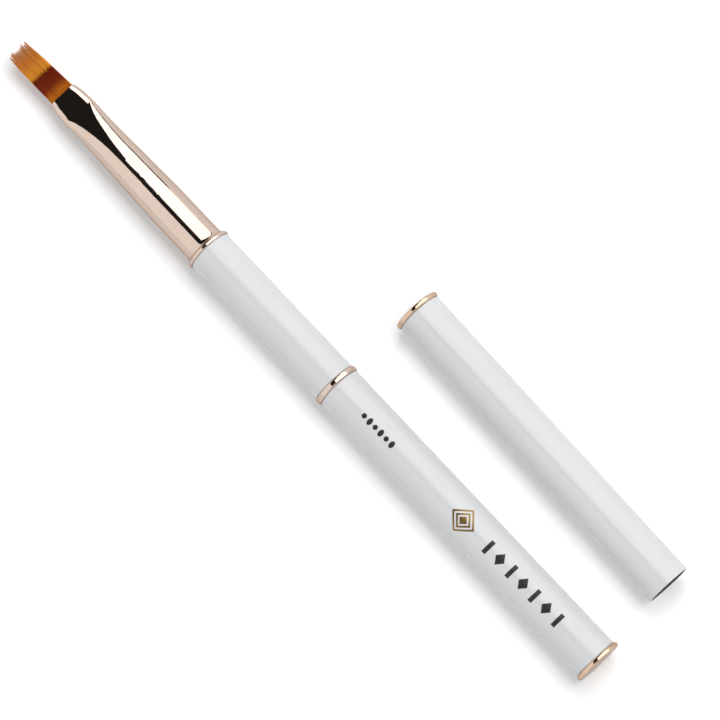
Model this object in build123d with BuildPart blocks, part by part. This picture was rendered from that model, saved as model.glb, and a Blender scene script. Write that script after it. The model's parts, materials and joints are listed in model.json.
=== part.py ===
from build123d import *
from math import cos, radians, sin
import os

# Flat nail brush with a slip-on cap that lies beside it on the table. Millimetres.
# +X runs from the tail to the bristle tips and +Z is up. The origin is at the middle of
# the whole set's footprint, on the table. The handle lies on its tail bead and the cap
# on its end bead, so both axes are one bead radius above the table.

# Handle, from the tail to the bristle tips.
BARREL_R = 4.33
BARREL_WALL = 0.4
TAIL_BEAD_R = 4.7
TAIL_BEAD_W = 0.98
REAR_BARREL_L = 66.52
RING_R = 4.6
RING_W = 1.18
FRONT_BARREL_L = 33.14
COLLAR_W = 1.6
FERRULE_L = 38.06
BRISTLE_L = 12.76

# Ferrule: a drawn tube, pressed flat at its mouth, with a flared collar behind it.
# Distances along it are measured back from the mouth. Each lip is one section of the flat
# part and each shoulder one of the swept part between the flat and the round tube: its
# distance, width and height.
FERRULE_WALL = 0.25
FERRULE_BASE_R = 3.79
FERRULE_WAIST_R = 3.52
WAIST_STEP = 0.02
MOUTH_W = 5.62
MOUTH_T = 2.26
LIPS = ((1.1, 6.16, 2.27), (2.6, 6.52, 2.29))
PRESS_L = 4.6
PRESS_W = 6.76
PRESS_T = 2.3
SHOULDERS = ((6.7, 6.68, 3.9), (9.2, 6.62, 5.0), (12.4, 6.68, 6.05), (15.2, 6.88, 6.7))
ROUND_FROM = 17.6
CYLINDER_FROM = 28.5
COLLAR_R = 4.53
COLLAR_RIM = 0.6
COLLAR_STEP = 0.04
COLLAR_ROUND = 0.2

# Bristles, bent as one wafer about a line across the ferrule's mouth.
BRISTLE_T = 1.5
TIP_T = 0.7
BRISTLE_W = 5.26
HEEL_W = 3.6
HEEL_NECK = 0.3
TIP_LOW_Y = -1.74
TIP_HIGH_Y = 2.6
COMB_TEETH = 9
NOTCH_DEPTH = 1.3
NOTCH_W = 0.26
BEND_LINE = 0.1

# Cap, from its mouth to its closed end.
CAP_R = 4.36
CAP_WALL = 0.32
CAP_TUBE_L = 65.7
CAP_BEAD_R = 4.62
CAP_BEAD_W = 1.0
CAP_MOUTH_X = 1.64
CAP_MOUTH_GAP = 18.25
CAP_YAW = 1.16

# Fits and edges.
GLUE_GAP = 0.02
LINER_GAP = 0.03
BEAD_ROUND = 0.42
EDGE_ROUND = 0.12

# Lengths of the hidden plugs and sleeves.
SPIGOT_L = 12.0
JOINER_REAR_L = 14.0
CORE_L = 8.0
CORE_BORE_R = 1.5
TAIL_SPIGOT_L = 6.0
TAIL_SLEEVE_L = 10.0
TAIL_SLEEVE_WALL = 0.46
CUP_WALL = 0.6
CAP_SPIGOT_L = 5.5
LINER_START = 2.2
LINER_L = 7.6
ROOT_R = 1.7
ROOT_RECESS = 0.95
ROOT_TAPER_L = 17.8
ROOT_END = 21.8
THREAD_R = 0.18
THREAD_TURNS = 5
RESIN_END = 24.3
RESIN_WALL_GAP = 0.05
ROOT_SIDE_GAP = 0.1

# Stations along the handle, measured forward from its tail face.
REAR_BARREL_AT = TAIL_BEAD_W
RING_AT = REAR_BARREL_AT + REAR_BARREL_L
FRONT_BARREL_AT = RING_AT + RING_W
COLLAR_AT = FRONT_BARREL_AT + FRONT_BARREL_L
FERRULE_AT = COLLAR_AT + COLLAR_W
MOUTH_AT = FERRULE_AT + FERRULE_L
HANDLE_L = MOUTH_AT + BRISTLE_L
BARREL_BORE_R = BARREL_R - BARREL_WALL
CAP_BORE_R = CAP_R - CAP_WALL
FERRULE_BORE_R = FERRULE_BASE_R - FERRULE_WALL

# The two axes. The cap's axis leans away from the handle towards its closed end.
CAP_TURN = radians(CAP_YAW)
CAP_L = CAP_TUBE_L + CAP_BEAD_W
CAP_SIDE = CAP_MOUTH_GAP + CAP_L * sin(CAP_TURN) + CAP_BEAD_R * cos(CAP_TURN)
HANDLE_Y = (CAP_SIDE - TAIL_BEAD_R) / 2
TAIL_X = -HANDLE_L / 2
handle_frame = Plane(
    origin=(TAIL_X, HANDLE_Y, TAIL_BEAD_R),
    x_dir=(1, 0, 0),
    z_dir=(0, -1, 0),
)
cap_frame = Plane(
    origin=(TAIL_X + CAP_MOUTH_X, HANDLE_Y - CAP_MOUTH_GAP, CAP_BEAD_R),
    x_dir=(cos(CAP_TURN), -sin(CAP_TURN), 0),
    z_dir=(-sin(CAP_TURN), -cos(CAP_TURN), 0),
)
handle_axis = Axis(handle_frame.origin, handle_frame.x_dir)
cap_axis = Axis(cap_frame.origin, cap_frame.x_dir)


def behind_mouth(distance):
    """Station along the handle of a place that far behind the ferrule's mouth."""
    return MOUTH_AT - distance


def cross_plane(station):
    """Plane square to the handle at a station: its x is +Y and its y is +Z."""
    return Plane(
        origin=(TAIL_X + station, HANDLE_Y, TAIL_BEAD_R),
        x_dir=(0, 1, 0),
        z_dir=(1, 0, 0),
    )


def save(piece, name):
    """Names a finished piece and writes its STEP file."""
    piece.label = name
    os.makedirs("parts", exist_ok=True)
    export_step(piece, f"parts/{name}.step")


def tube(frame, axis, start, length, outer_r, inner_r):
    """A plain tube with softly rounded rims."""
    with BuildPart() as body:
        with BuildSketch(frame):
            with Locations((start, (outer_r + inner_r) / 2)):
                Rectangle(length, outer_r - inner_r, align=(Align.MIN, Align.CENTER))
        revolve(axis=axis)
        rims = body.edges().filter_by(GeomType.CIRCLE).group_by(SortBy.RADIUS)[-1]
        fillet(rims, EDGE_ROUND)
    return body.part


def bead_plug(frame, axis, rim, inward, bead_w, bead_r, spigot_l, spigot_r):
    """A turned end plug: a rounded bead outside a tube's rim, a hollow spigot inside.

    Inward is +1 or -1, the way the spigot points along the frame's x.
    """
    face = rim - inward * bead_w
    spigot_end = rim + inward * spigot_l
    cup_floor = rim + inward * CUP_WALL
    with BuildPart() as plug:
        with BuildSketch(frame):
            with BuildLine():
                Polyline(
                    (face, 0),
                    (face, bead_r),
                    (rim, bead_r),
                    (rim, spigot_r),
                    (spigot_end, spigot_r),
                    (spigot_end, spigot_r - CUP_WALL),
                    (cup_floor, spigot_r - CUP_WALL),
                    (cup_floor, 0),
                    close=True,
                )
            make_face()
        revolve(axis=axis)
        rims = plug.edges().filter_by(GeomType.CIRCLE).group_by(SortBy.RADIUS)[-1]
        fillet(rims, BEAD_ROUND)
    return plug.part


# ---------------------------------------------------------------- handle barrels

save(
    tube(
        handle_frame,
        handle_axis,
        REAR_BARREL_AT,
        REAR_BARREL_L,
        BARREL_R,
        BARREL_BORE_R,
    ),
    "rear_barrel",
)
save(
    tube(
        handle_frame,
        handle_axis,
        FRONT_BARREL_AT,
        FRONT_BARREL_L,
        BARREL_R,
        BARREL_BORE_R,
    ),
    "front_barrel",
)

# Trim ring, trapped between the two barrels on the joiner.
with BuildPart() as middle_ring:
    with BuildSketch(handle_frame):
        with Locations((RING_AT, (RING_R + BARREL_BORE_R) / 2)):
            Rectangle(RING_W, RING_R - BARREL_BORE_R, align=(Align.MIN, Align.CENTER))
    revolve(axis=handle_axis)
    ring_rims = middle_ring.edges().filter_by(GeomType.CIRCLE).group_by(SortBy.RADIUS)[-1]
    fillet(ring_rims, BEAD_ROUND)
save(middle_ring.part, "middle_ring")

# Moulded joiner that both barrels are pressed on.
joiner_wall = BARREL_BORE_R - GLUE_GAP - CORE_BORE_R
with BuildPart() as joiner:
    with BuildSketch(handle_frame):
        with Locations((RING_AT - JOINER_REAR_L, CORE_BORE_R)):
            Rectangle(
                JOINER_REAR_L + RING_W + SPIGOT_L,
                joiner_wall,
                align=(Align.MIN, Align.MIN),
            )
    revolve(axis=handle_axis)
save(joiner.part, "barrel_joiner")

# Tail: a plated plug in a moulded sleeve.
tail_sleeve_bore_r = BARREL_BORE_R - GLUE_GAP - TAIL_SLEEVE_WALL
with BuildPart() as tail_sleeve:
    with BuildSketch(handle_frame):
        with Locations((REAR_BARREL_AT, tail_sleeve_bore_r)):
            Rectangle(TAIL_SLEEVE_L, TAIL_SLEEVE_WALL, align=(Align.MIN, Align.MIN))
    revolve(axis=handle_axis)
save(tail_sleeve.part, "tail_sleeve")
save(
    bead_plug(
        handle_frame,
        handle_axis,
        REAR_BARREL_AT,
        1,
        TAIL_BEAD_W,
        TAIL_BEAD_R,
        TAIL_SPIGOT_L,
        tail_sleeve_bore_r - GLUE_GAP,
    ),
    "tail_plug",
)


# ---------------------------------------------------------------- ferrule and bristles


def pressed_shape(inset):
    """The flat end of the ferrule, grown inwards by a wall: press zone, then shoulders."""
    press_end = (PRESS_L, PRESS_W, PRESS_T)
    round_end = (ROUND_FROM, 2 * FERRULE_WAIST_R, 2 * FERRULE_WAIST_R)
    flat = ((0, MOUTH_W, MOUTH_T), *LIPS, press_end)
    swept = (press_end, *SHOULDERS, round_end)
    with BuildPart() as shape:
        for sections in (flat, swept):
            for distance, width, height in sections:
                half_height = height / 2 - inset
                with BuildSketch(cross_plane(behind_mouth(distance))):
                    # A sliver of straight side keeps eight edges on every section.
                    RectangleRounded(
                        width - 2 * inset,
                        2 * half_height,
                        half_height - GLUE_GAP / 2,
                    )
            loft()
    return shape.part


def tube_shape(inset):
    """The round rest of the ferrule back to its base, grown inwards by a wall.

    It stands a hair proud of the swept part, where the press stopped.
    """
    waist = (behind_mouth(ROUND_FROM), FERRULE_WAIST_R + WAIST_STEP - inset)
    base = (behind_mouth(CYLINDER_FROM), FERRULE_BASE_R - inset)
    with BuildPart() as shape:
        with BuildSketch(handle_frame):
            with BuildLine():
                Spline(waist, base, tangents=((-1, 0), (-1, 0)))
                Polyline(
                    base,
                    (FERRULE_AT, FERRULE_BASE_R - inset),
                    (FERRULE_AT, 0),
                    (waist[0], 0),
                    waist,
                )
            make_face()
        revolve(axis=handle_axis)
    return shape.part


with BuildPart() as ferrule:
    add(pressed_shape(0))
    add(tube_shape(0))
    add(pressed_shape(FERRULE_WALL), mode=Mode.SUBTRACT)
    add(tube_shape(FERRULE_WALL), mode=Mode.SUBTRACT)
save(ferrule.part, "ferrule")

# Collar behind the ferrule, flared to cover the front barrel's rim.
with BuildPart() as ferrule_collar:
    with BuildSketch(handle_frame):
        with BuildLine():
            flare_start = (FERRULE_AT, FERRULE_BASE_R + COLLAR_STEP)
            flare_end = (COLLAR_AT + COLLAR_RIM, COLLAR_R)
            TangentArc(flare_start, flare_end, tangent=(-1, 0))
            Polyline(
                flare_end,
                (COLLAR_AT, COLLAR_R),
                (COLLAR_AT, FERRULE_BORE_R),
                (FERRULE_AT, FERRULE_BORE_R),
                flare_start,
            )
        make_face()
    revolve(axis=handle_axis)
    rim = ferrule_collar.edges().filter_by(GeomType.CIRCLE).group_by(SortBy.RADIUS)[-1]
    fillet(rim, COLLAR_ROUND)
save(ferrule_collar.part, "ferrule_collar")

# Moulded core: its front spigot is glued in the ferrule, its rear one in the barrel.
with BuildPart() as ferrule_core:
    with BuildSketch(handle_frame):
        with BuildLine():
            Polyline(
                (COLLAR_AT - SPIGOT_L, CORE_BORE_R),
                (COLLAR_AT - SPIGOT_L, BARREL_BORE_R - GLUE_GAP),
                (COLLAR_AT, BARREL_BORE_R - GLUE_GAP),
                (COLLAR_AT, FERRULE_BORE_R - GLUE_GAP),
                (FERRULE_AT + CORE_L, FERRULE_BORE_R - GLUE_GAP),
                (FERRULE_AT + CORE_L, CORE_BORE_R),
                close=True,
            )
        make_face()
    revolve(axis=handle_axis)
save(ferrule_core.part, "ferrule_core")

# Root of the bristle bundle: flat in the mouth, gathered to a round tied end.
root_sections = (
    (ROOT_RECESS, BRISTLE_W - 2 * FERRULE_WALL - ROOT_SIDE_GAP, BRISTLE_T),
    (PRESS_L, BRISTLE_W - 2 * FERRULE_WALL - ROOT_SIDE_GAP, BRISTLE_T),
    (ROOT_TAPER_L, 2 * ROOT_R, 2 * ROOT_R),
)
with BuildPart() as bristle_root:
    for near, far in zip(root_sections, root_sections[1:]):
        for distance, width, height in (near, far):
            with BuildSketch(cross_plane(behind_mouth(distance))):
                RectangleRounded(width, height, height / 2 - GLUE_GAP / 2)
        loft()
    with BuildSketch(handle_frame):
        with Locations((behind_mouth(ROOT_TAPER_L), 0)):
            Rectangle(ROOT_END - ROOT_TAPER_L, ROOT_R, align=(Align.MAX, Align.MIN))
    revolve(axis=handle_axis)
save(bristle_root.part, "bristle_root")

# Binding thread: one strand wound side by side round the tied end.
thread_pitch = 2 * THREAD_R + GLUE_GAP
thread_start = behind_mouth(ROOT_END) + THREAD_R + GLUE_GAP
with BuildPart() as root_thread:
    with BuildLine():
        wound = Helix(
            pitch=thread_pitch,
            height=THREAD_TURNS * thread_pitch,
            radius=ROOT_R + GLUE_GAP + THREAD_R,
            center=(TAIL_X + thread_start, HANDLE_Y, TAIL_BEAD_R),
            direction=(1, 0, 0),
        )
    with BuildSketch(Plane(origin=wound @ 0, z_dir=wound % 0)):
        Circle(THREAD_R)
    sweep(path=wound, is_frenet=True)
save(root_thread.part, "root_thread")

# Cast resin plug that locks the tied end in the ferrule.
resin_r = FERRULE_WAIST_R - FERRULE_WALL - RESIN_WALL_GAP
socket_r = ROOT_R + 2 * THREAD_R + 2 * GLUE_GAP
with BuildPart() as root_resin:
    with BuildSketch(handle_frame):
        with BuildLine():
            Polyline(
                (behind_mouth(RESIN_END), 0),
                (behind_mouth(RESIN_END), resin_r),
                (behind_mouth(ROOT_TAPER_L), resin_r),
                (behind_mouth(ROOT_TAPER_L), socket_r),
                (behind_mouth(ROOT_END + GLUE_GAP), socket_r),
                (behind_mouth(ROOT_END + GLUE_GAP), 0),
                close=True,
            )
        make_face()
    revolve(axis=handle_axis)
save(root_resin.part, "root_resin")

# Bristles: a wafer that thins towards its combed tips, on a round heel in the mouth.
heel = MOUTH_AT + BEND_LINE
shoulder = heel + HEEL_NECK
tip_w = TIP_HIGH_Y - TIP_LOW_Y
tip_mid_y = (TIP_HIGH_Y + TIP_LOW_Y) / 2
tooth_pitch = tip_w / COMB_TEETH
with BuildPart() as bristles:
    with BuildSketch(cross_plane(shoulder)):
        RectangleRounded(BRISTLE_W, BRISTLE_T, BRISTLE_T / 2 - GLUE_GAP / 2)
    with BuildSketch(cross_plane(HANDLE_L)):
        with Locations((tip_mid_y, 0)):
            RectangleRounded(tip_w, TIP_T, TIP_T / 2 - GLUE_GAP / 2)
    loft()
    with BuildSketch(handle_frame):
        with Locations((heel, 0)):
            Circle(BRISTLE_T / 2)
            Rectangle(HEEL_NECK, BRISTLE_T, align=(Align.MIN, Align.CENTER))
    extrude(amount=HEEL_W / 2, both=True)
    with BuildSketch(Plane(origin=(TAIL_X + HANDLE_L, HANDLE_Y, TAIL_BEAD_R))):
        for notch in range(1, COMB_TEETH):
            notch_y = TIP_LOW_Y + notch * tooth_pitch
            with BuildLine():
                Polyline(
                    (0, notch_y - NOTCH_W / 2),
                    (0, notch_y + NOTCH_W / 2),
                    (-NOTCH_DEPTH, notch_y),
                    close=True,
                )
            make_face()
    extrude(amount=BRISTLE_T, both=True, mode=Mode.SUBTRACT)
save(bristles.part, "bristles")

# ---------------------------------------------------------------- cap

save(tube(cap_frame, cap_axis, 0, CAP_TUBE_L, CAP_R, CAP_BORE_R), "cap_tube")
save(
    bead_plug(
        cap_frame,
        cap_axis,
        CAP_TUBE_L,
        -1,
        CAP_BEAD_W,
        CAP_BEAD_R,
        CAP_SPIGOT_L,
        CAP_BORE_R - GLUE_GAP,
    ),
    "cap_end_plug",
)

# Moulded liner that grips the ferrule's base.
liner_bore_r = FERRULE_BASE_R + LINER_GAP
with BuildPart() as cap_liner:
    with BuildSketch(cap_frame):
        with Locations((LINER_START, liner_bore_r)):
            Rectangle(
                LINER_L,
                CAP_BORE_R - GLUE_GAP - liner_bore_r,
                align=(Align.MIN, Align.MIN),
            )
    revolve(axis=cap_axis)
save(cap_liner.part, "cap_liner")
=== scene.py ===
import json
import math
import random

import bpy
from mathutils import Matrix, Vector


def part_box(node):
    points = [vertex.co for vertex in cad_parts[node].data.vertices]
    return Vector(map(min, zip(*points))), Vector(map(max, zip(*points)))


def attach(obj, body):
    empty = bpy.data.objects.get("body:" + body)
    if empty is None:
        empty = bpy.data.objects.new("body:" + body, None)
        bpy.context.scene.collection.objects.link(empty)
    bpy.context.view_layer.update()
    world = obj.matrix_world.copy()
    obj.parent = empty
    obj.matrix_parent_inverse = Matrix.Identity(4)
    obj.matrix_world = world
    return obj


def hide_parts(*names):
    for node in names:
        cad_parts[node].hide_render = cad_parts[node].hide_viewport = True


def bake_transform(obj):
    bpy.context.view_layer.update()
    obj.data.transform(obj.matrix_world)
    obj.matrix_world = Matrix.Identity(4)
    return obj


# The looks of a flat nail brush and its slip-on cap. Metres, in the frame of the packed
# CAD model: +X runs from the brush's tail to its bristle tips and +Z is up.

MM = 0.001
RANDOM_SEED = 20

# Camera: nearly straight above the set, a little past the brush's tail.
CAMERA_AT = Vector((-0.10985, 0.00367, 0.6447))
CAMERA_LOOKS_AT = Vector((-0.00861, 0.00367, 0.0047))
IMAGE_RIGHT_TURN = math.radians(-133.805)
LENS_MM = 181.27
SENSOR_MM = 36.0
CLIP_NEAR = 0.01
CLIP_FAR = 20.0

# Studio. Angles are measured sideways from straight up, positive towards -Y.
FLOOR_HALF = 3.0
FLOOR_SHADE = (0.95, 0.95, 0.955)
FLOOR_GRAIN = 0.985
MIRRORED_SHADE = (0.72, 0.71, 0.7)
SKY_STRENGTH = 0.52
KEY_ANGLE = 25.0
KEY_DISTANCE = 0.75
KEY_SIZE = (0.6, 0.38)
KEY_POWER = 2.5
TABLE_KEY_POWER = 2.3
TABLE_GLOW = 0.1
CARD_DISTANCE = 0.9
BACKING_DISTANCE = 2.2
CARD_FAR = 2.4
MIRRORED_FLOOR_DEPTH = 0.1 * MM

# Bristle tuft. Lengths are measured forward from the ferrule's mouth, in metres unless
# the name says millimetres, and places across it run from -1 to 1.
STRANDS = 1500
STRAND_SIDES = 5
STRAND_STEPS = 9
STRAND_R = 0.042 * MM
STRAND_TIP_R = 0.009 * MM
TAPER_FROM = 0.35
ROOT_INSET = 0.9 * MM
ROOT_HALF_WIDTH = 2.5 * MM
ROOT_HALF_THICK = 0.68 * MM
TIP_LOW = -1.74 * MM
TIP_HIGH = 2.6 * MM
TIP_HALF_THICK = 0.3 * MM
ROUNDED_FROM = 0.72
LENGTH_SPREAD_MM = 0.85
CLUMPS = 10
CLUMP_REACH_MM = (11.9, 12.6)
GATHER_FROM = 0.55
GATHER_PULL = 0.55
BAND_MIDDLE_MM = 4

# Printed ornaments on the rear barrel. Places are along the barrel and sizes are half sizes.
PRINT_LIFT = 0.012 * MM
PRINT_SINK = 0.02 * MM
PRINT_STEPS = 12
PRINT_TURN = math.radians(2.0)
BAR_ROW_MARKS = 7
BAR_ROW_FROM_TAIL = 26.94 * MM
BAR_ROW_PITCH = 2.95 * MM
BAR_SIZE = (0.42 * MM, 1.4 * MM)
LOZENGE_SIZE = (1.05 * MM, 1.35 * MM)
DOT_ROW_MARKS = 6
DOT_ROW_FROM_RING = 7.48 * MM
DOT_ROW_PITCH = 1.42 * MM
DOT_HALF_LENGTH = 0.46 * MM
DOT_HALF_SIDES = (0.5 * MM, 0.75 * MM)
EMBLEM_FROM_TAIL = 33.44 * MM
EMBLEM_SIZE = 2.75 * MM
EMBLEM_RINGS = (1.0, 0.66)
EMBLEM_LINE = 0.17
EMBLEM_CORE = 0.33

# Wall thicknesses that tell a tube's bore, bare metal painted dark for the shade inside it, from
# its lacquered outside.
BARREL_WALL = 0.4 * MM
CAP_WALL = 0.32 * MM
BORE_BLUR = 0.04 * MM

# Painted shade: plating darkens this close to a neighbouring piece, for the shadow in the gaps
# between parts.
GROOVE_SHADE_REACH = 0.3 * MM


def node_input(shader, name, value):
    """Sets a constant on a shader's own socket."""
    shader.inputs[name].default_value = value


def make_material(name):
    """A node material and its parts: the material, its tree and its shader."""
    material = bpy.data.materials.new(name)
    material.use_nodes = True
    tree = material.node_tree
    return material, tree, tree.nodes["Principled BSDF"]


def add_noise(tree, vector, scale, detail=2.0, roughness=0.5):
    """Noise over a vector, read from its Fac output."""
    noise = tree.nodes.new("ShaderNodeTexNoise")
    noise.inputs["Scale"].default_value = scale
    noise.inputs["Detail"].default_value = detail
    noise.inputs["Roughness"].default_value = roughness
    tree.links.new(vector, noise.inputs["Vector"])
    return noise.outputs["Fac"]


def add_ramp(tree, fac, stops):
    """A colour ramp from (position, colour) stops."""
    ramp = tree.nodes.new("ShaderNodeValToRGB")
    elements = ramp.color_ramp.elements
    while len(elements) < len(stops):
        elements.new(0.5)
    for element, (position, colour) in zip(elements, stops):
        element.position = position
        element.color = (*colour, 1)
    tree.links.new(fac, ramp.inputs["Fac"])
    return ramp.outputs["Color"]


def add_range(tree, value, low, high, to_low, to_high):
    """Maps a value's range onto another, clamped."""
    node = tree.nodes.new("ShaderNodeMapRange")
    tree.links.new(value, node.inputs["Value"])
    for name, number in (
        ("From Min", low),
        ("From Max", high),
        ("To Min", to_low),
        ("To Max", to_high),
    ):
        node.inputs[name].default_value = number
    return node.outputs["Result"]


def add_mix(tree, fac, a, b, blend="MIX"):
    """Mixes two colours, each a socket or an RGB value."""
    node = tree.nodes.new("ShaderNodeMix")
    node.data_type = "RGBA"
    node.blend_type = blend
    colour_inputs = [s for s in node.inputs if s.type == "RGBA"]
    for socket, value in ((node.inputs[0], fac), (colour_inputs[0], a), (colour_inputs[1], b)):
        if isinstance(value, (int, float)):
            socket.default_value = value
        elif isinstance(value, tuple):
            socket.default_value = (*value, 1)
        else:
            tree.links.new(value, socket)
    return [s for s in node.outputs if s.type == "RGBA"][0]


def add_bump(tree, shader, height, strength, distance):
    """Puts a bump on the shader."""
    bump = tree.nodes.new("ShaderNodeBump")
    bump.inputs["Strength"].default_value = strength
    bump.inputs["Distance"].default_value = distance
    tree.links.new(height, bump.inputs["Height"])
    tree.links.new(bump.outputs["Normal"], shader.inputs["Normal"])


def object_vector(tree):
    """The piece's own coordinates, in metres."""
    return tree.nodes.new("ShaderNodeTexCoord").outputs["Object"]


def stretch(tree, vector, factors):
    """A vector scaled by a factor for each axis."""
    node = tree.nodes.new("ShaderNodeVectorMath")
    node.operation = "MULTIPLY"
    tree.links.new(vector, node.inputs[0])
    node.inputs[1].default_value = factors
    return node.outputs["Vector"]


def axis_distance(tree, vector, origin, direction):
    """Distance of each surface point from an axis."""
    offset = tree.nodes.new("ShaderNodeVectorMath")
    offset.operation = "SUBTRACT"
    tree.links.new(vector, offset.inputs[0])
    offset.inputs[1].default_value = origin
    cross = tree.nodes.new("ShaderNodeVectorMath")
    cross.operation = "CROSS_PRODUCT"
    tree.links.new(offset.outputs["Vector"], cross.inputs[0])
    cross.inputs[1].default_value = direction
    length = tree.nodes.new("ShaderNodeVectorMath")
    length.operation = "LENGTH"
    tree.links.new(cross.outputs["Vector"], length.inputs[0])
    return length.outputs["Value"]


def lacquer_material(name, origin, direction, bore_r):
    """Glossy white lacquer outside a tube, and bare drawn metal in its bore, painted dark grey as
    painted shade for the dim inside of the tube.
    """
    material, tree, shader = make_material(name)
    vector = object_vector(tree)
    cloud = add_noise(tree, vector, 45, detail=3)
    paint = add_ramp(tree, cloud, ((0.3, (0.785, 0.79, 0.80)), (0.7, (0.805, 0.81, 0.82))))
    in_bore = add_range(
        tree, axis_distance(tree, vector, origin, direction), bore_r, bore_r + BORE_BLUR, 1, 0
    )
    # The bore is bare drawn metal painted dark grey: painted shade for the dim inside of the
    # tube.
    drawn = add_noise(tree, stretch(tree, vector, (60, 2500, 2500)), 1.0, detail=3)
    bore_metal_and_shade = add_ramp(tree, drawn, ((0.3, (0.08, 0.072, 0.066)), (0.7, (0.2, 0.185, 0.17))))
    tree.links.new(add_mix(tree, in_bore, paint, bore_metal_and_shade), shader.inputs["Base Color"])
    paint_rough = add_range(tree, add_noise(tree, vector, 300), 0.3, 0.7, 0.28, 0.36)
    tree.links.new(paint_rough, shader.inputs["Roughness"])
    node_input(shader, "Specular IOR Level", 0.3)
    node_input(shader, "Coat Weight", 0.6)
    node_input(shader, "Coat Roughness", 0.12)
    node_input(shader, "Coat IOR", 1.5)
    peel = add_noise(tree, vector, 900, detail=1)
    add_bump(tree, shader, peel, 0.03, 0.02 * MM)
    return material


def plated_material(name, dark, light, roughness):
    """Polished plating with faint drawn lines, mottled between two shades, with painted shade
    darkening it in the grooves next to neighbouring pieces.
    """
    material, tree, shader = make_material(name)
    vector = object_vector(tree)
    tone = add_ramp(tree, add_noise(tree, vector, 260, detail=4), ((0.32, dark), (0.68, light)))
    # Painted shade: ambient occlusion darkens the plating near neighbouring pieces, standing in
    # for the shadow in the grooves.
    groove = tree.nodes.new("ShaderNodeAmbientOcclusion")
    groove.samples = 8
    groove.inputs["Distance"].default_value = GROOVE_SHADE_REACH
    painted_groove_shade = add_ramp(tree, groove.outputs["AO"], ((0.5, (0.12, 0.1, 0.09)), (0.86, (1, 1, 1))))
    tone = add_mix(tree, 1.0, tone, painted_groove_shade, blend="MULTIPLY")
    tree.links.new(tone, shader.inputs["Base Color"])
    node_input(shader, "Metallic", 1.0)
    node_input(shader, "Specular Tint", (0.72, 0.6, 0.52, 1))
    smear = add_noise(tree, vector, 500, detail=3)
    low, high = roughness
    tree.links.new(add_range(tree, smear, 0.3, 0.7, low, high), shader.inputs["Roughness"])
    lines = add_noise(tree, stretch(tree, vector, (60, 4000, 4000)), 1.0, detail=2)
    add_bump(tree, shader, lines, 0.01, 0.004 * MM)
    return material


def plastic_material(name, dark, light):
    """Moulded plastic with a fine satin grain."""
    material, tree, shader = make_material(name)
    vector = object_vector(tree)
    tone = add_ramp(tree, add_noise(tree, vector, 400, detail=3), ((0.3, dark), (0.7, light)))
    tree.links.new(tone, shader.inputs["Base Color"])
    grain = add_noise(tree, vector, 6000, detail=1)
    tree.links.new(add_range(tree, grain, 0.3, 0.7, 0.38, 0.52), shader.inputs["Roughness"])
    add_bump(tree, shader, grain, 0.15, 0.01 * MM)
    return material


def resin_material():
    """Cast amber resin, slightly cloudy."""
    material, tree, shader = make_material("cast_resin_amber")
    vector = object_vector(tree)
    cloud = add_noise(tree, vector, 700, detail=4)
    tone = add_ramp(tree, cloud, ((0.3, (0.42, 0.25, 0.08)), (0.7, (0.68, 0.47, 0.2))))
    tree.links.new(tone, shader.inputs["Base Color"])
    tree.links.new(add_range(tree, cloud, 0.3, 0.7, 0.12, 0.28), shader.inputs["Roughness"])
    node_input(shader, "Coat Weight", 0.5)
    return material


def thread_material():
    """Twisted cotton thread."""
    material, tree, shader = make_material("binding_thread_cotton")
    vector = object_vector(tree)
    twist = tree.nodes.new("ShaderNodeTexWave")
    twist.bands_direction = "DIAGONAL"
    twist.inputs["Scale"].default_value = 2600
    twist.inputs["Distortion"].default_value = 1.5
    tree.links.new(vector, twist.inputs["Vector"])
    stops = ((0.2, (0.5, 0.46, 0.38)), (0.8, (0.76, 0.72, 0.64)))
    tree.links.new(add_ramp(tree, twist.outputs["Fac"], stops), shader.inputs["Base Color"])
    node_input(shader, "Roughness", 0.85)
    add_bump(tree, shader, twist.outputs["Fac"], 0.4, 0.03 * MM)
    return material


def root_material():
    """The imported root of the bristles, brown, with its hairs running along +X."""
    material, tree, shader = make_material("bristle_root_hair")
    vector = stretch(tree, object_vector(tree), (40, 9000, 9000))
    hairs = add_noise(tree, vector, 1.0, detail=3)
    tone = add_ramp(tree, hairs, ((0.3, (0.14, 0.045, 0.012)), (0.7, (0.5, 0.2, 0.05))))
    tree.links.new(tone, shader.inputs["Base Color"])
    node_input(shader, "Roughness", 0.5)
    add_bump(tree, shader, hairs, 0.5, 0.05 * MM)
    return material


def hair_material(length_mm):
    """Two-tone bristle hair: amber at the ferrule, a dark band, then amber to pale tips.

    Attributes along (mm from the mouth, with each hair's own shift) and tone (0 to 1)
    ride with the hairs.
    """
    material, tree, shader = make_material("bristle_hair_two_tone")
    along = tree.nodes.new("ShaderNodeAttribute")
    along.attribute_name = "along"
    tone = tree.nodes.new("ShaderNodeAttribute")
    tone.attribute_name = "tone"
    place = add_range(tree, along.outputs["Fac"], 0, length_mm, 0, 1)
    stops = (
        (0.0, (0.6, 0.18, 0.005)),
        (0.07, (0.64, 0.2, 0.008)),
        (0.2, (0.26, 0.032, 0.004)),
        (0.42, (0.2, 0.018, 0.001)),
        (0.46, (0.9, 0.4, 0.03)),
        (0.56, (0.94, 0.43, 0.045)),
        (0.72, (0.88, 0.33, 0.06)),
        (0.9, (0.92, 0.46, 0.17)),
        (1.0, (0.95, 0.62, 0.38)),
    )
    base = add_ramp(tree, place, stops)
    streaks = ((0.0, (0.6, 0.34, 0.25)), (0.45, (0.92, 0.84, 0.8)), (1.0, (1, 1, 1)))
    streak = add_ramp(tree, tone.outputs["Fac"], streaks)
    shade = add_mix(tree, 1.0, base, streak, blend="MULTIPLY")
    tree.links.new(shade, shader.inputs["Base Color"])
    fine = add_noise(tree, stretch(tree, object_vector(tree), (300, 4000, 4000)), 1.0)
    tree.links.new(add_range(tree, fine, 0.3, 0.7, 0.45, 0.6), shader.inputs["Roughness"])
    node_input(shader, "Specular IOR Level", 0.08)
    return material


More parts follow.
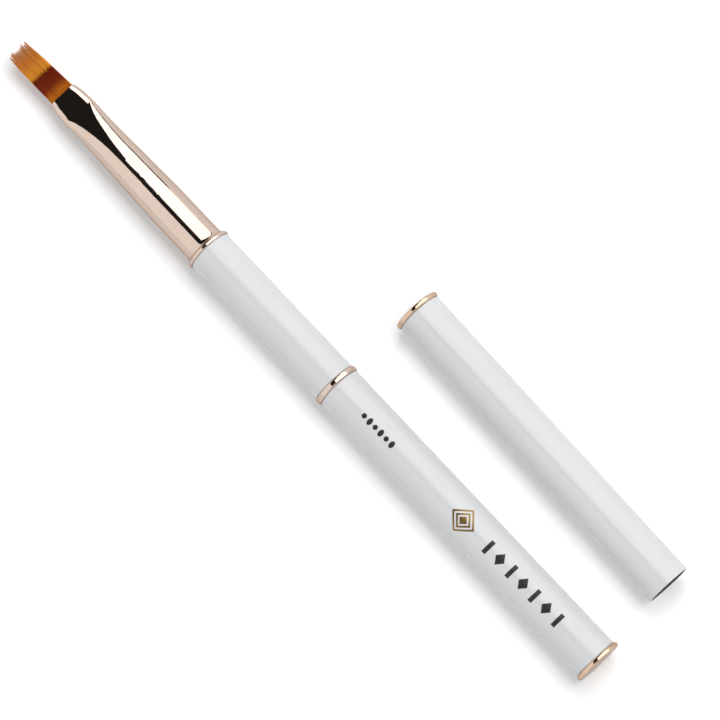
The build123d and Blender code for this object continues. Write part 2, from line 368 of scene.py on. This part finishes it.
def ink_material():
    """Black screen-printed ink."""
    material, tree, shader = make_material("printed_ink_black")
    vector = object_vector(tree)
    speckle = add_noise(tree, vector, 5000, detail=2)
    tone = add_ramp(tree, speckle, ((0.3, (0.012, 0.012, 0.013)), (0.75, (0.03, 0.03, 0.031))))
    tree.links.new(tone, shader.inputs["Base Color"])
    tree.links.new(add_range(tree, speckle, 0.3, 0.7, 0.3, 0.45), shader.inputs["Roughness"])
    return material


def make_piece(name, verts, faces, material, smooth=True):
    """A mesh object in the row frame."""
    mesh = bpy.data.meshes.new(name)
    mesh.from_pydata(verts, [], faces)
    mesh.update()
    mesh.materials.append(material)
    for face in mesh.polygons:
        face.use_smooth = smooth
    piece = bpy.data.objects.new(name, mesh)
    bpy.context.scene.collection.objects.link(piece)
    return piece


# ---------------------------------------------------------------- frame

random.seed(RANDOM_SEED)
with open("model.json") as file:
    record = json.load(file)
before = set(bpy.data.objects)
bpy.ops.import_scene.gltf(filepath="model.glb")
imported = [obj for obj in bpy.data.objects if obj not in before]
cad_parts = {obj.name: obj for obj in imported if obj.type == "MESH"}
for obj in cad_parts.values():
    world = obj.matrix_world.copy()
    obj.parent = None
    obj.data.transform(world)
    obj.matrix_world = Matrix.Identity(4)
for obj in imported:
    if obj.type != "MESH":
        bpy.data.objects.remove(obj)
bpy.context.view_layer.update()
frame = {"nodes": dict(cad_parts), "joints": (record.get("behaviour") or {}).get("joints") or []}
nodes = frame["nodes"]

ferrule_low, ferrule_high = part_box("ferrule")
barrel_low, barrel_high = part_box("rear_barrel")
_, bristle_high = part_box("bristles")
cap_low, cap_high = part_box("cap_tube")
mouth_x = ferrule_high.x
axis_y = (ferrule_low.y + ferrule_high.y) / 2
axis_z = (ferrule_low.z + ferrule_high.z) / 2
barrel_r = (barrel_high.z - barrel_low.z) / 2
cap_joint = next(j for j in frame["joints"] if j["name"] == "cap_slide")
cap_direction = Vector(cap_joint["axis"])
cap_r = (cap_high.z - cap_low.z) / 2
cap_middle = (cap_low + cap_high) / 2

# ---------------------------------------------------------------- materials of the CAD nodes

handle_axis = Vector((1, 0, 0))
handle_origin = Vector((0, axis_y, axis_z))
tuft_length = bristle_high.x - mouth_x
handle_lacquer = lacquer_material(
    "white_lacquer_handle", handle_origin, handle_axis, barrel_r - BARREL_WALL
)
cap_lacquer = lacquer_material("white_lacquer_cap", cap_middle, cap_direction, cap_r - CAP_WALL)
ferrule_plating = plated_material(
    "rose_gold_ferrule", (0.86, 0.69, 0.59), (0.89, 0.73, 0.63), (0.06, 0.075)
)
bead_plating = plated_material(
    "rose_gold_bead", (0.88, 0.63, 0.46), (0.91, 0.68, 0.51), (0.06, 0.075)
)
inner_plastic = plastic_material("moulded_plastic_grey", (0.5, 0.49, 0.47), (0.6, 0.59, 0.57))
liner_plastic = plastic_material("moulded_plastic_liner", (0.2, 0.19, 0.18), (0.28, 0.27, 0.26))
root_hair = root_material()
thread_cotton = thread_material()
resin_amber = resin_material()

node_materials = {
    "rear_barrel": handle_lacquer,
    "front_barrel": handle_lacquer,
    "cap_tube": cap_lacquer,
    "ferrule": ferrule_plating,
    "ferrule_collar": ferrule_plating,
    "middle_ring": ferrule_plating,
    "tail_plug": bead_plating,
    "cap_end_plug": bead_plating,
    "barrel_joiner": inner_plastic,
    "tail_sleeve": inner_plastic,
    "ferrule_core": inner_plastic,
    "cap_liner": liner_plastic,
    "bristle_root": root_hair,
    "bristles": root_hair,
    "root_thread": thread_cotton,
    "root_resin": resin_amber,
}
for node_name, node_material in node_materials.items():
    node = nodes[node_name]
    for material_slot in node.material_slots:
        material_slot.link = "OBJECT"
        material_slot.material = node_material

# ---------------------------------------------------------------- bristle tuft


def make_clumps():
    """Uneven groups that the hairs gather into at their tips: (place 0 to 1, reach, lean)."""
    made = []
    for number in range(CLUMPS):
        centre = (number + 0.5 + random.uniform(-0.22, 0.22)) / CLUMPS
        reach = random.uniform(*CLUMP_REACH_MM) * MM
        lean = random.uniform(-0.08, 0.08) * MM
        made.append((centre, reach, lean))
    return made


def plan_strand(clumps, longest):
    """One hair's place across and through the tuft, its clump and its length.

    The longest hair reaches exactly as far as the CAD's bristles.
    """
    across = random.uniform(-1, 1)
    past_flat = max(0.0, (abs(across) - ROUNDED_FROM) / (1 - ROUNDED_FROM))
    through = random.uniform(-1, 1) * math.sqrt(max(0.0, 1 - past_flat**2))
    clump = clumps[min(CLUMPS - 1, int((across + 1) / 2 * CLUMPS))]
    length = clump[1] - abs(random.gauss(0, LENGTH_SPREAD_MM)) * MM
    if longest:
        clump = max(clumps, key=lambda each: each[1])
        across = clump[0] * 2 - 1
        length = tuft_length
    return across, through, clump, min(length, tuft_length)


def strand_points(across, through, clump, length):
    """Points along one hair from inside the mouth to its tip, as offsets from the mouth."""
    centre, _, lean = clump
    tip_width = TIP_HIGH - TIP_LOW
    root_y = across * ROOT_HALF_WIDTH
    root_z = through * ROOT_HALF_THICK
    tip_y = TIP_LOW + (across + 1) / 2 * tip_width
    tip_z = through * TIP_HALF_THICK
    clump_y = TIP_LOW + centre * tip_width
    wander_y = random.uniform(-0.09, 0.09) * MM
    wander_z = random.uniform(-0.05, 0.05) * MM
    bow = random.uniform(-0.05, 0.05) * MM
    points = []
    for step in range(STRAND_STEPS):
        share = step / (STRAND_STEPS - 1)
        x = -ROOT_INSET + share * (length + ROOT_INSET)
        forward = max(0.0, x) / tuft_length
        gather = max(0.0, forward - GATHER_FROM) / (1 - GATHER_FROM)
        y = root_y + (tip_y - root_y) * forward
        y += (clump_y + lean * gather - y) * GATHER_PULL * gather * gather
        y += wander_y * forward * forward + bow * math.sin(math.pi * forward)
        z = root_z + (tip_z - root_z) * forward + wander_z * forward
        points.append((x, y, z))
    return points


def add_strand(verts, faces, points):
    """One closed hair with a tapered tip, added to the tuft's vertices and faces."""
    first = len(verts)
    for step, (x, y, z) in enumerate(points):
        share = step / (STRAND_STEPS - 1)
        taper = max(0.0, share - TAPER_FROM) / (1 - TAPER_FROM)
        radius = STRAND_R + (STRAND_TIP_R - STRAND_R) * taper
        for side in range(STRAND_SIDES):
            turn = 2 * math.pi * side / STRAND_SIDES
            side_y = axis_y + y + radius * math.cos(turn)
            side_z = axis_z + z + radius * math.sin(turn)
            verts.append((mouth_x + x, side_y, side_z))
    for step in range(STRAND_STEPS - 1):
        row = first + step * STRAND_SIDES
        for side in range(STRAND_SIDES):
            after = (side + 1) % STRAND_SIDES
            ahead = row + STRAND_SIDES
            faces.append((row + side, ahead + side, ahead + after, row + after))
    last = first + (STRAND_STEPS - 1) * STRAND_SIDES
    faces.append(tuple(first + side for side in range(STRAND_SIDES)))
    faces.append(tuple(last + side for side in reversed(range(STRAND_SIDES))))


tuft_verts = []
tuft_faces = []
tuft_along = []
tuft_tone = []
all_clumps = make_clumps()
for strand in range(STRANDS):
    across, through, clump, length = plan_strand(all_clumps, longest=strand == 0)
    points = strand_points(across, through, clump, length)
    streak = 0.55 + 0.25 * math.sin(9.1 * across + 1.3) * math.cos(23.7 * across + 0.6)
    tone = min(1.0, max(0.0, streak + random.gauss(0, 0.28)))
    far_shift = random.gauss(0, 0.2)
    near_shift = random.gauss(0, 0.25)
    add_strand(tuft_verts, tuft_faces, points)
    for point in points:
        place_mm = point[0] / MM
        shift = far_shift if place_mm > BAND_MIDDLE_MM else near_shift
        tuft_along.extend([place_mm + shift] * STRAND_SIDES)
        tuft_tone.extend([tone] * STRAND_SIDES)

tuft = make_piece("bristle_tuft", tuft_verts, tuft_faces, hair_material(tuft_length / MM))
for attribute_name, values in (("along", tuft_along), ("tone", tuft_tone)):
    attribute = tuft.data.attributes.new(attribute_name, "FLOAT", "POINT")
    attribute.data.foreach_set("value", values)
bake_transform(tuft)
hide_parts("bristles")

# ---------------------------------------------------------------- printed ornaments


def shell_point(x, sideways, radius):
    """A point on the barrel: sideways is the distance round it from its top, to +Y."""
    turn = sideways / barrel_r + PRINT_TURN
    return (x, axis_y + radius * math.sin(turn), axis_z + radius * math.cos(turn))


def add_shape(verts, faces, low, high, left, right):
    """One closed thin shape on the barrel between two sideways limits.

    left and right give its ends along x at each sideways distance.
    """
    first = len(verts)
    for row in range(PRINT_STEPS + 1):
        sideways = low + (high - low) * row / PRINT_STEPS
        ends = (left(sideways), right(sideways))
        for radius in (barrel_r + PRINT_LIFT, barrel_r - PRINT_SINK):
            for x in ends:
                verts.append(shell_point(x, sideways, radius))
    for row in range(PRINT_STEPS):
        a = first + 4 * row
        b = a + 4
        faces.append((a, b, b + 1, a + 1))
        faces.append((a + 2, a + 3, b + 3, b + 2))
        faces.append((a, a + 2, b + 2, b))
        faces.append((a + 1, b + 1, b + 3, a + 3))
    end = first + 4 * PRINT_STEPS
    faces.append((first, first + 1, first + 3, first + 2))
    faces.append((end, end + 2, end + 3, end + 1))


def add_lozenge(verts, faces, x, half_x, half_side):
    """A solid lozenge centred on the print's line."""

    def reach(sideways):
        return half_x * max(0.02, 1 - abs(sideways) / half_side)

    for low, high in ((-half_side, 0), (0, half_side)):
        add_shape(verts, faces, low, high, lambda s: x - reach(s), lambda s: x + reach(s))


def add_bar(verts, faces, x, half_x, half_side):
    """A plain upright bar."""
    add_shape(verts, faces, -half_side, half_side, lambda s: x - half_x, lambda s: x + half_x)


def add_dot(verts, faces, x, half_x, half_side):
    """An oval dot."""

    def reach(sideways):
        return half_x * math.sqrt(max(0.0004, 1 - (sideways / half_side) ** 2))

    add_shape(verts, faces, -half_side, half_side, lambda s: x - reach(s), lambda s: x + reach(s))


def add_lozenge_ring(verts, faces, x, outer, inner):
    """A lozenge outline between two half sizes, in eight closed strips."""

    def ends(way):
        """The strip's left and right ends, on the side of x that way points to."""

        def inner_end(sideways):
            return x + way * max(0.0, inner - abs(sideways))

        def outer_end(sideways):
            return x + way * max(0.0, outer - abs(sideways))

        return (inner_end, outer_end) if way > 0 else (outer_end, inner_end)

    for way in (-1, 1):
        for low, high in ((-outer, -inner), (-inner, 0), (0, inner), (inner, outer)):
            add_shape(verts, faces, low, high, *ends(way))


ink = ink_material()
gold_foil = plated_material("gold_foil", (0.24, 0.15, 0.05), (0.42, 0.28, 0.11), (0.35, 0.5))

row_verts, row_faces = [], []
for number in range(BAR_ROW_MARKS):
    mark_x = barrel_low.x + BAR_ROW_FROM_TAIL - number * BAR_ROW_PITCH
    add_mark, size = (add_lozenge, LOZENGE_SIZE) if number % 2 else (add_bar, BAR_SIZE)
    add_mark(row_verts, row_faces, mark_x, *size)
bar_row = make_piece("ornament_bar_row", row_verts, row_faces, ink, smooth=False)

dot_verts, dot_faces = [], []
for number in range(DOT_ROW_MARKS):
    mark_x = barrel_high.x - DOT_ROW_FROM_RING - number * DOT_ROW_PITCH
    add_dot(dot_verts, dot_faces, mark_x, DOT_HALF_LENGTH, DOT_HALF_SIDES[number % 2])
dot_row = make_piece("ornament_dot_row", dot_verts, dot_faces, ink, smooth=False)

emblem_verts, emblem_faces = [], []
emblem_x = barrel_low.x + EMBLEM_FROM_TAIL
for ring in EMBLEM_RINGS:
    outer = EMBLEM_SIZE * ring
    inner = EMBLEM_SIZE * (ring - EMBLEM_LINE)
    add_lozenge_ring(emblem_verts, emblem_faces, emblem_x, outer, inner)
core = EMBLEM_SIZE * EMBLEM_CORE
add_lozenge(emblem_verts, emblem_faces, emblem_x, core, core)
emblem = make_piece("ornament_lozenge", emblem_verts, emblem_faces, gold_foil, smooth=False)

for ornament in (bar_row, dot_row, emblem):
    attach(ornament, "handle")

# ---------------------------------------------------------------- studio

world = bpy.data.worlds.new("studio_sky")
bpy.context.scene.world = world
world.use_nodes = True
background = world.node_tree.nodes["Background"]
background.inputs["Color"].default_value = (1.0, 1.0, 1.0, 1)
background.inputs["Strength"].default_value = SKY_STRENGTH


def add_floor(name, shade, depth, glow=0.0):
    """A wide pale table top, with a faint glow of its own to lift the shadows."""
    material, tree, shader = make_material(name)
    grain = add_noise(tree, object_vector(tree), 8)
    darker = tuple(FLOOR_GRAIN * channel for channel in shade)
    tone = add_ramp(tree, grain, ((0.3, darker), (0.7, shade)))
    tree.links.new(tone, shader.inputs["Base Color"])
    node_input(shader, "Roughness", 0.9)
    node_input(shader, "Specular IOR Level", 0.0)
    node_input(shader, "Emission Color", (0.95, 0.98, 1.0, 1))
    node_input(shader, "Emission Strength", glow)
    corners = [
        (x * FLOOR_HALF, y * FLOOR_HALF, -depth)
        for x, y in ((-1, -1), (1, -1), (1, 1), (-1, 1))
    ]
    piece = make_piece(name, corners, [(0, 1, 2, 3)], material)
    return piece


# Reflections see a second, greyer table just below the one that the camera sees.
floor = add_floor("studio_floor", FLOOR_SHADE, 0.0, TABLE_GLOW)
floor.visible_glossy = False
floor.visible_shadow = False
floor_mirrored = add_floor("studio_floor_in_reflections", MIRRORED_SHADE, MIRRORED_FLOOR_DEPTH)
floor_mirrored.visible_camera = False
floor_mirrored.visible_diffuse = False
floor_mirrored.visible_shadow = False


def sideways_point(angle, distance, x):
    """A point seen from the handle at an angle sideways from straight up."""
    turn = math.radians(angle)
    return Vector((x, axis_y - distance * math.sin(turn), axis_z + distance * math.cos(turn)))


def add_card(name, corners, strength, distance=CARD_DISTANCE):
    """A studio card that only reflections see: a softbox's face, a grey card or a black flag.

    Its corners are (sideways angle, x) pairs, in order round it.
    """
    material = bpy.data.materials.new(name)
    material.use_nodes = True
    tree = material.node_tree
    tree.nodes.clear()
    glow = tree.nodes.new("ShaderNodeEmission")
    glow.inputs["Color"].default_value = (1.0, 0.99, 0.98, 1)
    glow.inputs["Strength"].default_value = strength
    out = tree.nodes.new("ShaderNodeOutputMaterial")
    tree.links.new(glow.outputs["Emission"], out.inputs["Surface"])
    points = [sideways_point(angle, distance, x) for angle, x in corners]
    card = make_piece(name, points, [tuple(range(len(points)))], material)
    card.visible_camera = False
    card.visible_diffuse = False
    card.visible_shadow = False
    card.visible_transmission = False
    return card


def add_strip(name, from_angle, to_angle, from_x, to_x, strength, distance=CARD_DISTANCE):
    """A card with straight ends square to the handle."""
    corners = ((from_angle, from_x), (from_angle, to_x), (to_angle, to_x), (to_angle, from_x))
    return add_card(name, corners, strength, distance)


# What the plating mirrors: the softbox over the -Y side, its low rim towards the table,
# the fill over the +Y side, black past the brush's tail, and near black behind it all.
softbox_corners = ((8.5, -0.9), (8.5, 0.32), (75.0, 1.05), (75.0, -0.9))
add_card("card_softbox", softbox_corners, 1.6)
add_strip("card_low", 75.0, 90.0, -0.5, 0.272, 0.82)
add_strip("card_low_tip_side", 84.0, 90.0, 0.272, CARD_FAR, 0.82)
add_strip("card_fill", -89.0, -18.0, -0.7, CARD_FAR, 0.85)
add_strip("flag_tail_side", 8.5, 75.0, -CARD_FAR, -0.9, 0.03)
add_strip("card_fill_tail_side", -89.0, 8.5, -CARD_FAR, -0.7, 0.5)
add_strip("flag_backing", -18.0, 90.0, -0.7, 3 * CARD_FAR, 0.012, BACKING_DISTANCE)


def add_key(name, power):
    """A softbox's light, on the -Y side."""
    light = bpy.data.lights.new(name, "AREA")
    light.shape = "RECTANGLE"
    light.size, light.size_y = KEY_SIZE
    light.energy = power
    key = bpy.data.objects.new(name, light)
    key.location = sideways_point(KEY_ANGLE, KEY_DISTANCE, 0.0)
    key.rotation_mode = "QUATERNION"
    key.rotation_quaternion = (key.location - handle_origin).to_track_quat("Z", "Y")
    key.visible_glossy = False
    key.visible_camera = False
    bpy.context.scene.collection.objects.link(key)
    return key


# The first key lights everything, and the second only the tables, to whiten them.
add_key("key_softbox", KEY_POWER)
table_key = add_key("key_table", TABLE_KEY_POWER)
table_only = bpy.data.collections.new("table_only")
table_only.objects.link(floor)
table_only.objects.link(floor_mirrored)
table_key.light_linking.receiver_collection = table_only

# ---------------------------------------------------------------- camera

camera_data = bpy.data.cameras.new("camera")
camera_data.lens = LENS_MM
camera_data.sensor_width = SENSOR_MM
camera_data.clip_start = CLIP_NEAR
camera_data.clip_end = CLIP_FAR
camera = bpy.data.objects.new("camera", camera_data)
bpy.context.scene.collection.objects.link(camera)
forward = (CAMERA_LOOKS_AT - CAMERA_AT).normalized()
right = Vector((math.cos(IMAGE_RIGHT_TURN), math.sin(IMAGE_RIGHT_TURN), 0))
right = (right - forward * right.dot(forward)).normalized()
up = right.cross(forward)
facing = Matrix((right, up, -forward)).transposed()
camera.matrix_world = Matrix.Translation(CAMERA_AT) @ facing.to_4x4()
bpy.context.scene.camera = camera
bpy.context.scene.view_settings.view_transform = "Standard"
bpy.context.scene.cycles.caustics_reflective = True
